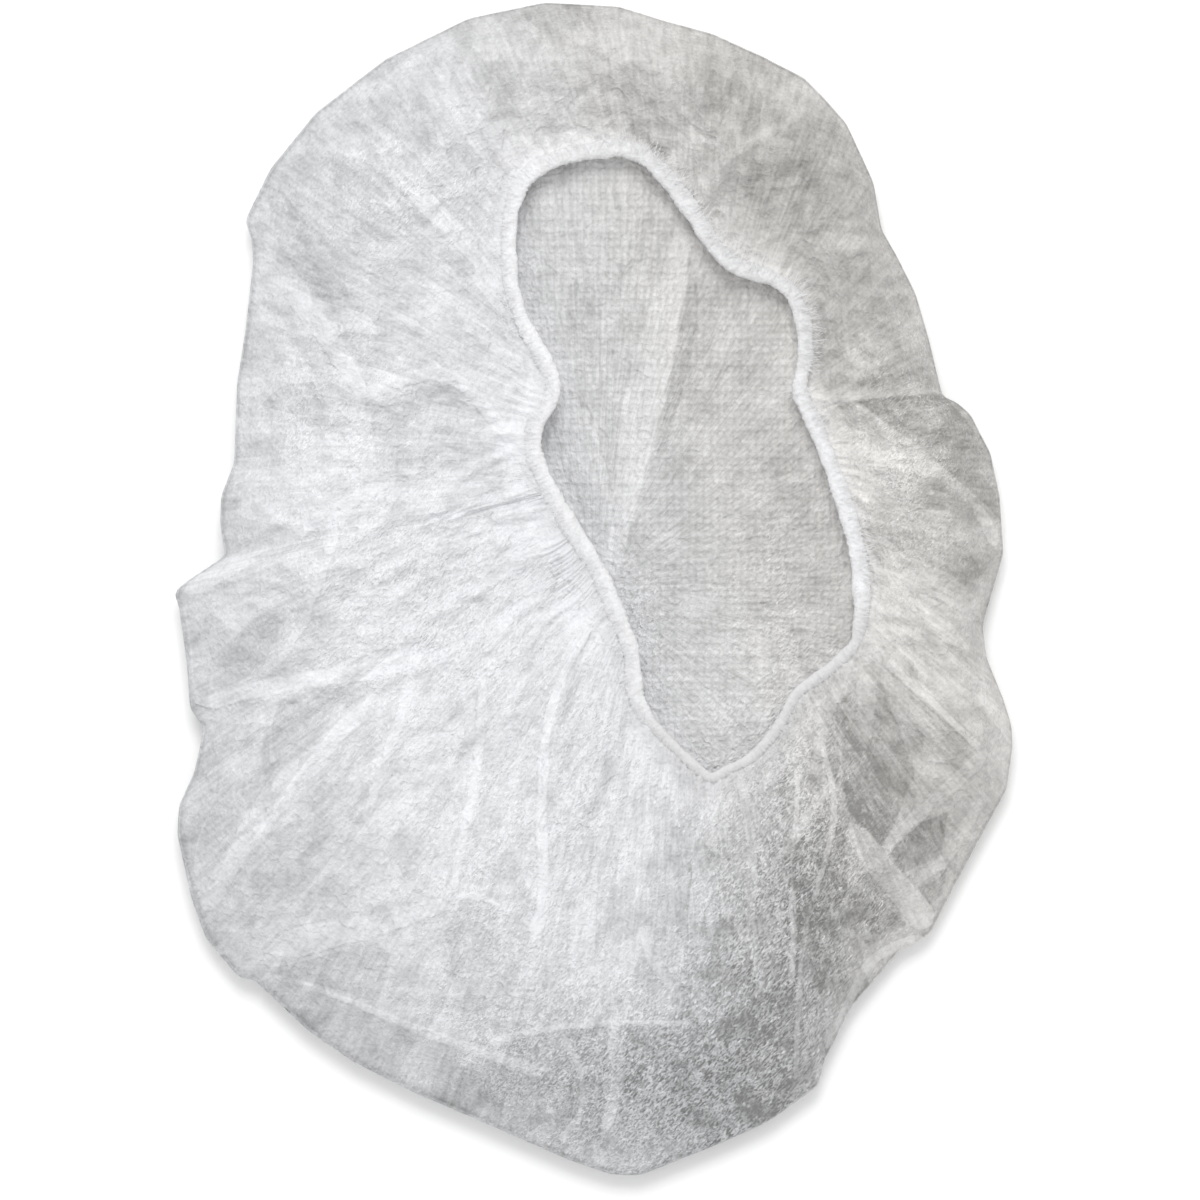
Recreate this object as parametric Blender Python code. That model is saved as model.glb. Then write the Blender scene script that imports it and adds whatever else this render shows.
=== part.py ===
# A disposable bouffant cap of thin nonwoven cloth, lying crown down with its elastic opening up.
# Metres, +Z up. The origin is on the surface that the cap lies on, under the middle of its outline.
import bmesh
import bpy
import numpy as np

# Driving sizes
CAP_LENGTH = 0.346
CAP_WIDTH = 0.247
CAP_HEIGHT = 0.032
CLOTH_THICKNESS = 0.0012
OPENING_LENGTH = 0.185
OPENING_WIDTH = 0.104
RIM_TO_OPENING_TOP = 0.0437
RIM_TO_OPENING_RIGHT = 0.0447
BAND_WIDTH = 0.0056
BAND_THICKNESS = 0.0028
SEAM_GAP = 0.0003
FOLD_HEIGHT = 0.0055
FOLD_WIDTH = 0.008
GATHER_HEIGHT = 0.0024
GATHERS = 30
PLEAT_HEIGHT = 0.0035
PLEAT_WIDTH = 0.0062

# Facets: four to each gather round the loop, and six round the section of the band
COLUMNS = 4 * GATHERS
BEARINGS = np.arange(COLUMNS) * 360 / COLUMNS
BAND_SIDES = 6

# Where the relief fades, as shares of the way in from the rim to the hem
FOLDS_START_SHARE = (0.0, 0.2)
FOLDS_END_SHARE = (0.85, 1.0)
GATHERS_START_SHARE = (0.3, 0.8)
HEM_GATHER_SHARE = 0.4
# A pleat's tail lower than this share of its height lies flat
PLEAT_TAIL_SHARE = 0.02

# The outline seen from above. Bearing in degrees anticlockwise from +X, and the reach there as a
# share of the ellipse that the cap's width and length make.
OUTLINE = (
    (5, 0.982), (16, 0.980), (22, 0.960), (27, 0.922), (30, 0.896), (42, 0.918), (51, 0.922),
    (56, 0.964), (62, 1.000), (70, 1.002), (80, 0.985), (90, 1.000), (102, 1.018), (111, 1.031),
    (120, 1.049), (128, 1.053), (132, 1.046), (136, 0.988), (144, 0.940), (150, 0.921),
    (161, 0.883), (166, 0.903), (170, 0.898), (175, 0.884), (179, 0.985), (186, 0.984),
    (197, 0.989), (201, 0.965), (206, 1.020), (210, 1.076), (218, 1.094), (222, 1.100),
    (227, 1.076), (237, 1.015), (246, 0.975), (258, 0.950), (268, 0.977), (275, 1.006),
    (284, 0.994), (294, 1.004), (297, 0.970), (302, 0.942), (309, 0.955), (314, 0.993),
    (324, 1.008), (334, 1.044), (342, 1.026), (350, 0.950), (355, 0.931),
)

# The elastic loop seen from above, in the same way, about its own middle.
LOOP = (
    (0, 0.812), (18, 0.737), (33, 0.690), (42, 0.762), (52, 0.812), (59, 0.806), (66, 0.757),
    (75, 0.688), (82, 0.705), (88, 0.790), (93, 0.895), (98, 1.005), (104, 1.090), (111, 1.175),
    (117, 1.255), (121, 1.283), (126, 1.260), (134, 1.140), (139, 1.022), (143, 0.890),
    (148, 0.795), (156, 0.795), (166, 0.868), (175, 0.863), (189, 0.777), (211, 0.665),
    (231, 0.594), (244, 0.606), (253, 0.656), (257, 0.760), (261, 0.829), (266, 0.872),
    (272, 0.955), (275, 1.000), (278, 0.992), (284, 0.998), (290, 0.978), (296, 0.952),
    (305, 1.036), (314, 1.118), (322, 1.092), (331, 1.028), (342, 0.938), (351, 0.865),
)

# How high the puffed ring stands, as a share of the cap's height, at each bearing.
PUFF = (
    (0, 0.84), (40, 0.82), (90, 0.88), (135, 0.95), (180, 1.00), (220, 0.97), (270, 0.90),
    (310, 0.82), (340, 0.86),
)

# The section of the cloth from the crown out to the rim: reach and height as shares.
UNDERSIDE = (
    (0.10, 0.00), (0.28, 0.00), (0.46, 0.00), (0.63, 0.00), (0.78, 0.00), (0.89, 0.035),
    (0.965, 0.14), (1.00, 0.34),
)
# The section from the rim in to the hem: share of the ring's width, and height as a share.
TOPSIDE = (
    (0.015, 0.54), (0.06, 0.71), (0.13, 0.84), (0.21, 0.93), (0.30, 0.985), (0.39, 1.00),
    (0.48, 0.98), (0.57, 0.93), (0.66, 0.865), (0.75, 0.79), (0.84, 0.72), (0.92, 0.665),
    (1.00, 0.63),
)

# Folds pressed into the ring. Each runs from one point to another, given as shares of the cap's
# half width and half length from its middle, with its height and width as shares.
FOLDS = (
    # right, up, to right, to up, height, width
    (-0.51, 0.33, -0.35, 0.37, 0.60, 0.90),
    (-0.35, 0.37, -0.15, 0.23, 0.70, 0.90),
    (-0.15, 0.23, -0.02, 0.04, 0.50, 0.80),
    (-0.88, 0.05, -0.60, 0.16, 0.90, 1.10),
    (-0.53, 0.19, -0.65, 0.00, 0.50, 0.90),
    (-0.65, 0.00, -0.76, -0.14, 0.50, 0.90),
    (-0.81, -0.19, -0.41, -0.14, 0.70, 1.00),
    (-0.43, -0.16, -0.53, -0.39, 0.60, 0.90),
    (-0.26, -0.20, -0.33, -0.49, 0.60, 0.90),
    (-0.05, -0.09, -0.12, -0.36, 0.80, 0.90),
    (-0.12, -0.36, -0.14, -0.58, 0.80, 0.90),
    (-0.81, -0.62, -0.38, -0.55, 0.90, 1.30),
    (-0.70, -0.67, -0.13, -0.83, 0.60, 1.00),
    (-0.26, -0.77, 0.23, -0.73, 0.60, 1.00),
    (0.62, -0.40, 0.78, -0.57, 0.90, 1.00),
    (0.92, -0.27, 0.68, -0.43, 0.80, 0.90),
    (0.78, -0.60, 0.63, -0.63, 0.70, 1.00),
    (0.63, -0.63, 0.56, -0.76, 0.60, 0.90),
    (0.59, -0.28, 0.54, -0.48, 0.70, 0.90),
    (0.54, -0.48, 0.48, -0.85, 0.60, 0.90),
    (0.70, -0.13, 0.90, -0.27, 0.80, 1.00),
    (0.64, -0.09, 0.95, -0.05, 0.60, 1.00),
    (0.49, 0.33, 0.83, 0.34, 0.50, 1.00),
    (0.24, 0.70, 0.35, 0.75, 0.70, 1.00),
    (0.27, 0.77, 0.44, 0.84, -0.50, 1.10),
    (0.25, 0.65, 0.56, 0.72, -0.50, 1.10),
    (-0.76, 0.68, -0.63, 0.49, -0.70, 1.20),
    (-0.63, 0.49, -0.52, 0.34, -0.50, 1.00),
)

# The pleats that stand up inside the crown, in the same shares.
CROWN_PLEATS = (
    (0.235, 0.60, 0.13, 0.30, 1.00, 1.20),
    (0.13, 0.30, 0.045, 0.06, 0.85, 1.00),
    (-0.02, 0.32, 0.040, 0.14, 0.45, 0.60),
)


def read_round(table, bearings):
    """The share at each bearing, on straight lines between the rows of a table that closes."""
    rows = np.array(table, dtype=float)
    before = rows[-1] - (360, 0)
    after = rows[0] + (360, 0)
    rows = np.vstack((before, rows, after))
    return np.interp(bearings, rows[:, 0], rows[:, 1])


def plan_loop(table, width, length, centre, bearings, passes):
    """A closed loop of points seen from above, softened, then fitted to its width and length."""
    turn = np.radians(bearings)
    direction = np.column_stack((np.cos(turn), np.sin(turn)))
    reach = 1 / np.hypot(direction[:, 0] / (width / 2), direction[:, 1] / (length / 2))
    points = direction * (reach * read_round(table, bearings))[:, None]
    for _ in range(passes):
        points = (np.roll(points, 1, axis=0) + 2 * points + np.roll(points, -1, axis=0)) / 4
    low = points.min(axis=0)
    high = points.max(axis=0)
    fitted = (points - (low + high) / 2) * (width, length) / (high - low)
    return fitted + centre


def outward_normals(points):
    """The unit normals of an anticlockwise loop seen from above."""
    along = np.roll(points, -1, axis=0) - np.roll(points, 1, axis=0)
    normals = np.column_stack((along[:, 1], -along[:, 0]))
    return normals / np.linalg.norm(normals, axis=1)[:, None]


def fold_relief(plan, folds, height, width):
    """Heights of rounded ridges and valleys along straight folds, at points seen from above."""
    scale = np.array((CAP_WIDTH / 2, CAP_LENGTH / 2))
    ridges = np.zeros(len(plan))
    valleys = np.zeros(len(plan))
    for right, up, to_right, to_up, high, wide in folds:
        start = np.array((right, up)) * scale
        run = np.array((to_right, to_up)) * scale - start
        share = np.clip((plan - start) @ run / (run @ run), 0, 1)
        away = np.linalg.norm(plan - start - share[:, None] * run, axis=1)
        lift = high * height * np.exp(-((away / (wide * width)) ** 2))
        ridges = np.maximum(ridges, lift)
        valleys = np.minimum(valleys, lift)
    return ridges + valleys


def smooth_step(value, ends):
    """Nought before the first end, one after the second, and a soft rise between them."""
    low, high = ends
    share = np.clip((value - low) / (high - low), 0, 1)
    return share * share * (3 - 2 * share)


def paint(name, colour, roughness):
    material = bpy.data.materials.new(name)
    material.use_nodes = True
    shader = material.node_tree.nodes["Principled BSDF"]
    shader.inputs["Base Color"].default_value = (*colour, 1)
    shader.inputs["Roughness"].default_value = roughness
    shader.inputs["Metallic"].default_value = 0
    return material


def add_rows(bm, rows, closed):
    """Faces between neighbouring rings of points. A closed set also joins the last ring to the first."""
    rings = [[bm.verts.new(point) for point in row] for row in rows]
    following = rings[1:] + rings[:1] if closed else rings[1:]
    for ring, other in zip(rings, following):
        for i in range(len(ring)):
            j = (i + 1) % len(ring)
            bm.faces.new((ring[i], ring[j], other[j], other[i]))
    return rings


def finish(name, bm, material):
    mesh = bpy.data.meshes.new(name)
    bmesh.ops.recalc_face_normals(bm, faces=bm.faces)
    bm.to_mesh(mesh)
    bm.free()
    mesh.materials.append(material)
    mesh.shade_smooth()
    node = bpy.data.objects.new(name, mesh)
    bpy.context.scene.collection.objects.link(node)
    return node


def cloth_rows(rim, hem):
    """The cloth's outer face as rings of points, from the crown's middle over the rim to the hem."""
    crest = CAP_HEIGHT * read_round(PUFF, BEARINGS)
    wave = np.cos(np.radians(BEARINGS * GATHERS))
    rows = []
    for reach, high in UNDERSIDE:
        plan = rim * reach
        lift = fold_relief(plan, CROWN_PLEATS, PLEAT_HEIGHT, PLEAT_WIDTH)
        lift[lift < PLEAT_HEIGHT * PLEAT_TAIL_SHARE] = 0
        rows.append(np.column_stack((plan, crest * high + lift)))
    for share, high in TOPSIDE:
        plan = rim + (hem - rim) * share
        relief = fold_relief(plan, FOLDS, FOLD_HEIGHT, FOLD_WIDTH)
        near_hem = smooth_step(share, FOLDS_END_SHARE)
        relief *= smooth_step(share, FOLDS_START_SHARE) * (1 - near_hem)
        gather = GATHER_HEIGHT / 2 * wave * smooth_step(share, GATHERS_START_SHARE)
        gather *= 1 - (1 - HEM_GATHER_SHARE) * near_hem
        rows.append(np.column_stack((plan, crest * high + relief + gather)))
    top = max(row[:, 2].max() for row in rows)
    for row in rows:
        row[:, 2] *= CAP_HEIGHT / top
    return rows


def make_cap_body(rim, loop, height_of_hem):
    """One sheet of nonwoven: the crown lies flat, and the rest folds up and in to the elastic."""
    hem = loop + outward_normals(loop) * (BAND_WIDTH / 2 + SEAM_GAP)
    rows = cloth_rows(rim, hem)
    bm = bmesh.new()
    rings = add_rows(bm, rows, closed=False)
    middle = bm.verts.new((0, 0, 0))
    for i in range(COLUMNS):
        bm.faces.new((middle, rings[0][i], rings[0][(i + 1) % COLUMNS]))
    node = finish("cap_body", bm, paint("nonwoven", (0.86, 0.86, 0.85), 0.7))
    wall = node.modifiers.new("cloth", "SOLIDIFY")
    wall.thickness = CLOTH_THICKNESS
    wall.offset = -1
    height_of_hem[:] = rows[-1][:, 2]
    return node


def make_elastic_band(loop, height_of_hem):
    """The gathered hem with its elastic inside: a flat ring that follows the edge of the cloth."""
    normals = outward_normals(loop)
    middle = height_of_hem - CLOTH_THICKNESS / 2
    for _ in range(3):
        middle = (np.roll(middle, 1) + 2 * middle + np.roll(middle, -1)) / 4
    rows = []
    for side in range(BAND_SIDES):
        turn = 2 * np.pi * side / BAND_SIDES
        plan = loop + normals * (BAND_WIDTH / 2 * np.cos(turn))
        rows.append(np.column_stack((plan, middle + BAND_THICKNESS / 2 * np.sin(turn))))
    bm = bmesh.new()
    add_rows(bm, rows, closed=True)
    return finish("elastic_band", bm, paint("elastic_hem", (0.93, 0.93, 0.93), 0.75))


def main():
    for old in list(bpy.data.objects):
        bpy.data.objects.remove(old, do_unlink=True)
    rim = plan_loop(OUTLINE, CAP_WIDTH, CAP_LENGTH, (0, 0), BEARINGS, passes=1)
    opening_centre = (
        CAP_WIDTH / 2 - RIM_TO_OPENING_RIGHT - OPENING_WIDTH / 2,
        CAP_LENGTH / 2 - RIM_TO_OPENING_TOP - OPENING_LENGTH / 2,
    )
    # Each column of the cloth runs straight in from its rim point towards the opening's middle
    right, up = (rim - opening_centre).T
    inward = np.degrees(np.arctan2(up, right)) % 360
    loop = plan_loop(LOOP, OPENING_WIDTH, OPENING_LENGTH, opening_centre, inward, passes=2)
    height_of_hem = np.zeros(COLUMNS)
    make_cap_body(rim, loop, height_of_hem)
    make_elastic_band(loop, height_of_hem)


main()
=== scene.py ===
# %% [markdown]
# # A disposable bouffant cap, lying crown down
#
# The real cap is one round of thin white nonwoven, gathered onto an elastic loop. Laid down with its
# opening up, the middle of the round is the crown, which lies flat, and the rest turns up at the rim
# and comes back in over the crown as a crumpled ring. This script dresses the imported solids: it makes
# the cloth with its folds, and the ruched hem, and gives both the look of spunbond.

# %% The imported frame
import bpy
import numpy as np
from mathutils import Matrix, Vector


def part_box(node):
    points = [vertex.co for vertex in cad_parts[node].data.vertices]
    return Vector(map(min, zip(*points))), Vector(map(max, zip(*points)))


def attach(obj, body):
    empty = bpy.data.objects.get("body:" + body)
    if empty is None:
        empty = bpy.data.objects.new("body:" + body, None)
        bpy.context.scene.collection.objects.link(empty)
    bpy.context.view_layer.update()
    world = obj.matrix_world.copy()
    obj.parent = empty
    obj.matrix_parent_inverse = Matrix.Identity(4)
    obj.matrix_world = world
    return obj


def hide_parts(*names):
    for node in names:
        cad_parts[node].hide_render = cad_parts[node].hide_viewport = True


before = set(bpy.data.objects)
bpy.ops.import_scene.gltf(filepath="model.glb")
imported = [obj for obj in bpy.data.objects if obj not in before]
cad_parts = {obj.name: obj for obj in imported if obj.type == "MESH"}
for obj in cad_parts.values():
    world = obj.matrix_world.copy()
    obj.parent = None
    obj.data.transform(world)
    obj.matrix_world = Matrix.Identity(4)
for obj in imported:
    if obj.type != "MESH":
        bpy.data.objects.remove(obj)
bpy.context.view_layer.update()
CAP_LOW, CAP_HIGH = (np.array(corner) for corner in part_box("cap_body"))
BAND_LOW, BAND_HIGH = (np.array(corner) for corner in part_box("elastic_band"))
CAP_SIZE = CAP_HIGH - CAP_LOW
CAP_MIDDLE = ((CAP_LOW + CAP_HIGH) / 2)[:2]
OPENING_CENTRE = ((BAND_LOW + BAND_HIGH) / 2)[:2]
MM = 0.001
print("cap", np.round(CAP_SIZE / MM, 1), "mm; hem from", BAND_LOW[2] / MM, "to", BAND_HIGH[2] / MM)

# %% [markdown]
# ## From the photograph to metres
#
# The photograph looks straight down, so a pixel is a place on the plan. The outline's bounding box in
# pixels stands for the imported cap's length and width, which gives the scale. The marks below were read
# one by one: the corners of the outline and of the elastic loop, clockwise from the top, in a frame of
# 1200 by 1200 pixels. A closed curve goes through them, softened over a millimetre or two.

# %% Outline and loop
RIM_MARKS_PX = (
    (545, 2), (619, 6), (664, 20), (712, 33), (759, 54), (804, 77), (823, 96), (847, 123), (874, 182),
    (882, 229), (897, 255), (916, 293), (930, 341), (943, 396), (957, 402), (971, 414), (981, 434),
    (991, 453), (1000, 496), (1004, 553), (983, 626), (987, 658), (1004, 700), (1012, 726), (1013, 747),
    (1007, 790), (976, 846), (946, 903), (931, 933), (915, 945), (901, 950), (852, 1007), (825, 1061),
    (819, 1086), (769, 1122), (718, 1145), (640, 1176), (612, 1175), (571, 1161), (494, 1127),
    (415, 1093), (354, 1062), (309, 1031), (254, 979), (242, 979), (233, 970), (206, 937), (192, 897),
    (178, 834), (180, 805), (195, 773), (205, 728), (191, 709), (188, 665), (180, 607), (175, 593),
    (184, 584), (226, 556), (221, 524), (222, 496), (235, 463), (238, 383), (246, 332), (254, 262),
    (253, 242), (246, 220), (271, 169), (316, 113), (386, 59), (469, 18),
)
LOOP_MARKS_PX = (
    (619, 150), (568, 158), (536, 171), (520, 188), (511, 216), (509, 248), (511, 286), (523, 324),
    (542, 356), (555, 381), (551, 403), (534, 426), (533, 452), (548, 487), (574, 531), (599, 570),
    (615, 608), (631, 646), (635, 694), (646, 715), (667, 737), (694, 763), (711, 777), (723, 768),
    (751, 755), (776, 727), (795, 690), (828, 667), (855, 642), (861, 604), (858, 559), (848, 519),
    (832, 471), (813, 423), (797, 391), (805, 356), (803, 324), (791, 292), (768, 278), (737, 270),
    (714, 250), (695, 219), (670, 184), (644, 158),
)


def pixel_frame(marks_px):
    """Metres per pixel and the middle pixel, from the outline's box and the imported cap's length."""
    marks = np.array(marks_px, float)
    low, high = marks.min(axis=0), marks.max(axis=0)
    return CAP_SIZE[1] / (high[1] - low[1]), (low + high) / 2


PIXEL, MIDDLE_PX = pixel_frame(RIM_MARKS_PX)
print(f"{PIXEL / MM:.4f} mm to the pixel, middle at {MIDDLE_PX}")


def on_plan(pixels):
    """Photograph pixels as metres on the plan: right is +X and up is +Y, from the outline's middle."""
    pixels = np.asarray(pixels, float)
    return (pixels - MIDDLE_PX) * (PIXEL, -PIXEL) + CAP_MIDDLE


def walk(line, count, closed):
    """Points that are equally far apart along a line."""
    if closed:
        line = np.vstack((line, line[:1]))
    gone = np.concatenate(([0], np.cumsum(np.linalg.norm(np.diff(line, axis=0), axis=1))))
    at = np.linspace(0, gone[-1], count, endpoint=not closed)
    return np.column_stack([np.interp(at, gone, line[:, axis]) for axis in range(line.shape[1])])


def closed_curve(points, count, soften):
    """Equal steps along a closed line. The line is stepped off finely, softened by a Gaussian of the
    given width along its own length, stretched back to its box, and stepped off again."""
    fine = 4000
    curve = walk(points, fine, closed=True)
    round_length = np.linalg.norm(np.diff(curve, axis=0), axis=1).sum()
    waves = np.fft.fftfreq(fine, round_length / fine) * 2 * np.pi
    blur = np.exp(-((waves * soften) ** 2) / 2)[:, None]
    soft = np.fft.ifft(np.fft.fft(curve, axis=0) * blur, axis=0).real
    low, high = soft.min(axis=0), soft.max(axis=0)
    soft = (soft - low) / (high - low) * np.ptp(curve, axis=0) + curve.min(axis=0)
    return walk(soft, count, closed=True)


def loop_towards(loop, centre, points):
    """Where the straight line from the loop's centre to each point crosses the loop."""
    arms = loop - centre
    bearing = np.arctan2(arms[:, 1], arms[:, 0])
    order = np.argsort(bearing)
    reach = np.linalg.norm(arms, axis=1)
    wanted = np.arctan2(points[:, 1] - centre[1], points[:, 0] - centre[0])
    reaches = np.interp(wanted, bearing[order], reach[order], period=2 * np.pi)
    return centre + reaches[:, None] * np.column_stack((np.cos(wanted), np.sin(wanted)))


COLUMNS = 700
rim = closed_curve(on_plan(RIM_MARKS_PX[::-1]), COLUMNS, 1.0 * MM)
band_line = closed_curve(on_plan(LOOP_MARKS_PX), 1600, 1.8 * MM)
hem = loop_towards(band_line, OPENING_CENTRE, rim)
print("rim", np.round(np.ptp(rim, axis=0) / MM, 1), "mm, hem", np.round(np.ptp(hem, axis=0) / MM, 1), "mm")

# %% [markdown]
# ## Creases
#
# Nonwoven creases like paper: flat facets meet in sharp lines, and each line dies out where it meets
# others. A crease here is a height that grows with the distance to a line, which is two facets in a V,
# times a round window that lets it fade. Many of them, seeded at random, crumple the cloth, and a few
# named ones follow the photograph.

# %% Crease helpers
def smooth_step(value, low, high):
    """Nought below low, one above high, and the soft cubic 3s^2 - 2s^3 between."""
    share = np.clip((value - low) / (high - low), 0, 1)
    return share * share * (3 - 2 * share)


def crumple(plan, creases, edge):
    """Sum of V creases. Each is slope * (sqrt(d^2 + edge^2) - 0.45 reach) * exp(-(r / reach)^2), where
    d is the distance to the crease's line and r the distance to its centre. Past 2.2 reaches it has
    faded and is left out."""
    height = np.zeros(len(plan))
    for x, y, turn, slope, reach in creases:
        gone = 2.2 * reach
        near = np.flatnonzero((np.abs(plan[:, 0] - x) < gone) & (np.abs(plan[:, 1] - y) < gone))
        away = plan[near] - (x, y)
        across = away[:, 0] * -np.sin(turn) + away[:, 1] * np.cos(turn)
        fade = np.exp(-(away**2).sum(axis=1) / reach**2)
        height[near] += slope * (np.sqrt(across**2 + edge**2) - 0.45 * reach) * fade
    return height


def to_segment(plan, a, b):
    """The share of the way from a to b that each point lies beside, and its distance to that line."""
    share = np.clip((plan - a) @ (b - a) / ((b - a) @ (b - a)), 0, 1)
    return share, np.linalg.norm(plan - a - share[:, None] * (b - a), axis=1)


def depth_inside(plan, corners):
    """Distance to the nearest side of a polygon, above nought inside it and below nought outside."""
    nearest = np.full(len(plan), np.inf)
    inside = np.zeros(len(plan), bool)
    for a, b in zip(corners, np.roll(corners, -1, axis=0)):
        nearest = np.minimum(nearest, to_segment(plan, a, b)[1])
        crosses = (a[1] > plan[:, 1]) != (b[1] > plan[:, 1])
        at = a[0] + (plan[:, 1] - a[1]) / (b[1] - a[1] + 1e-12) * (b[0] - a[0])
        inside ^= crosses & (plan[:, 0] < at)
    return np.where(inside, nearest, -nearest)


def into_opening(plan):
    """How far inside the elastic's loop each point lies, in mm, and below nought outside it."""
    return depth_inside(plan, band_line[::20]) / MM


# How far past its ends a fold fades
FOLD_FADE = 6 * MM


def beside_segments(plan, rows):
    """For each row (x0, y0, x1, y1, ...) in pixels: the distance of every point to its line, and a
    window that is one beside it and fades past its ends, then the rest of the row."""
    for row in rows:
        start, end = on_plan(row[:2]), on_plan(row[2:4])
        length = np.linalg.norm(end - start)
        run = (end - start) / length
        away = plan - start
        along = away @ run
        across = away @ np.array((-run[1], run[0]))
        past = np.maximum(0, np.maximum(-along, along - length))
        yield across, np.exp(-((past / FOLD_FADE) ** 2)), row[4:]


def fold_heights(plan, rows, edge):
    """Height of each row's fold, h * exp(-sqrt(d^2 + edge^2) / w): a crest softened over its edge."""
    for across, fade, (high, wide) in beside_segments(plan, rows):
        yield high * MM * np.exp(-np.sqrt(across**2 + edge**2) / (wide * MM)) * fade


# %% [markdown]
# The largest folds make this cap look like the one in the photograph, so they are placed one by one.
# Each is a straight piece of ridge or valley, and pieces that meet end to end make a bent fold. A
# sculpted mesh would do as well, but a table of lines can be read and changed.

# %% The folds that the photograph shows
# Pixel x and y, to x and y, height in mm, width in mm. A ridge has a sharp crest.
RIDGES = (
    (310, 250, 380, 392, 1.6, 5.0), (380, 392, 447, 368, 2.2, 5.0), (447, 368, 530, 450, 2.4, 4.0),
    (530, 450, 596, 566, 1.8, 3.5), (226, 556, 287, 524, 2.6, 6.0), (287, 524, 345, 492, 2.0, 5.0),
    (345, 492, 450, 440, 1.4, 5.0), (373, 473, 322, 585, 1.8, 4.5), (322, 585, 277, 668, 1.6, 4.5),
    (205, 728, 255, 700, 1.8, 5.0), (255, 700, 421, 671, 2.2, 4.5), (421, 671, 480, 640, 1.4, 4.5),
    (415, 680, 376, 783, 2.0, 4.0), (376, 783, 368, 830, 1.6, 4.0), (483, 703, 481, 783, 1.8, 4.0),
    (481, 783, 456, 878, 1.6, 4.0), (590, 625, 564, 677, 2.0, 3.5), (564, 677, 545, 800, 2.4, 3.5),
    (545, 800, 547, 878, 2.2, 3.5), (547, 878, 534, 935, 1.6, 3.5), (330, 760, 220, 930, 1.8, 6.0),
    (330, 760, 400, 700, 1.4, 6.0), (300, 983, 437, 1034, 2.0, 4.0), (437, 1034, 539, 1075, 1.8, 4.0),
    (485, 1040, 596, 1019, 1.8, 4.0), (596, 1019, 690, 1015, 1.4, 4.0), (411, 992, 526, 990, 1.2, 3.0),
    (456, 893, 482, 888, 1.6, 3.0), (482, 888, 510, 906, 1.6, 3.0), (605, 1030, 606, 1130, 1.2, 3.5),
    (840, 750, 840, 805, 1.8, 3.5), (840, 805, 798, 935, 1.8, 3.5), (798, 935, 795, 1085, 1.4, 3.5),
    (922, 941, 870, 948, 2.0, 4.5), (870, 948, 829, 1037, 2.2, 4.5), (865, 648, 973, 744, 2.6, 4.5),
    (862, 640, 983, 626, 2.0, 4.5), (860, 650, 912, 720, 1.8, 4.0), (850, 655, 845, 720, 1.6, 4.0),
    (808, 400, 943, 396, 1.8, 5.0), (825, 440, 950, 500, 1.6, 5.0), (850, 520, 960, 560, 1.4, 5.0),
    (700, 200, 745, 148, 2.6, 4.0), (745, 148, 806, 118, 1.6, 5.0), (730, 262, 800, 225, 1.4, 4.5),
    (775, 268, 880, 245, 1.4, 5.0), (715, 790, 712, 900, 1.4, 4.0), (700, 780, 640, 900, 1.2, 4.0),
    (760, 760, 775, 870, 1.3, 4.0),
)
VALLEYS = (
    (275, 190, 330, 300, 2.2, 6.0), (330, 300, 372, 385, 1.6, 5.0), (700, 172, 779, 96, 2.4, 5.0),
    (706, 215, 830, 160, 2.4, 5.0), (600, 160, 560, 60, 1.0, 6.0), (345, 700, 250, 760, 1.4, 5.0),
    (910, 843, 930, 890, 1.6, 4.0), (885, 905, 850, 860, 1.4, 4.0), (900, 760, 850, 690, 1.6, 4.0),
    (820, 330, 930, 300, 1.2, 6.0), (615, 880, 600, 1000, 1.0, 5.0),
)


def photographed_folds(plan):
    """Ridges less valleys. Where folds meet, the highest ridge and the deepest valley hold."""
    ridges, valleys = (
        np.max(list(fold_heights(plan, rows, 0.5 * MM)), axis=0) for rows in (RIDGES, VALLEYS)
    )
    return ridges - valleys


print(len(RIDGES), "ridges and", len(VALLEYS), "valleys")

# %% [markdown]
# ## The cloth as one sheet
#
# Every column of the grid runs from the crown's middle out to the rim and back in to the hem. Its
# section is a quarter ellipse from the floor up to the rim, a quarter sine up to the crest, and a soft
# fall to the elastic. Rows are spaced by the length of that section, because the facets should be even.

# %% Section of the ring
BAND_HEIGHT = (BAND_LOW[2] + BAND_HIGH[2]) / 2
RIM_SHARE = 0.28
CREST_AT = 0.40
FLAT_REACH = 0.80
# Share of the height that is left to the smooth crest, because folds rise above it
SMOOTH_CREST = 0.88
# Bearing in degrees, share of the cap's height that the ring's crest reaches there
PUFF = (
    (0, 0.84), (40, 0.82), (90, 0.88), (135, 0.95), (180, 1.00), (220, 0.97), (270, 0.90), (310, 0.82),
    (340, 0.86),
)
CROWN_ROWS, BILGE_ROWS, RING_ROWS = 16, 12, 105
RIM_ROW = CROWN_ROWS + BILGE_ROWS - 1
bearing = np.degrees(np.arctan2(rim[:, 1], rim[:, 0])) % 360
puff = np.array(PUFF, float)
crest = CAP_HIGH[2] * SMOOTH_CREST * np.interp(bearing, puff[:, 0], puff[:, 1], period=360)


def topside(share):
    """Height share at a share of the way from rim to hem. Up to the crest it is a quarter of a sine,
    and from there it falls by a cosine to the height of the band."""
    rise = RIM_SHARE + (1 - RIM_SHARE) * np.sin(np.pi / 2 * np.clip(share / CREST_AT, 0, 1))
    fall = (1 - np.cos(np.pi * np.clip((share - CREST_AT) / (1 - CREST_AT), 0, 1))) / 2
    return rise - (1 - BAND_HEIGHT / crest.mean()) * fall


def underside(reach):
    """Height share at a share of the reach: flat, then the lower quarter of an ellipse to the rim."""
    turn = np.clip((reach - FLAT_REACH) / (1 - FLAT_REACH), 0, 1)
    return RIM_SHARE * (1 - np.sqrt(1 - turn**2))


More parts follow.
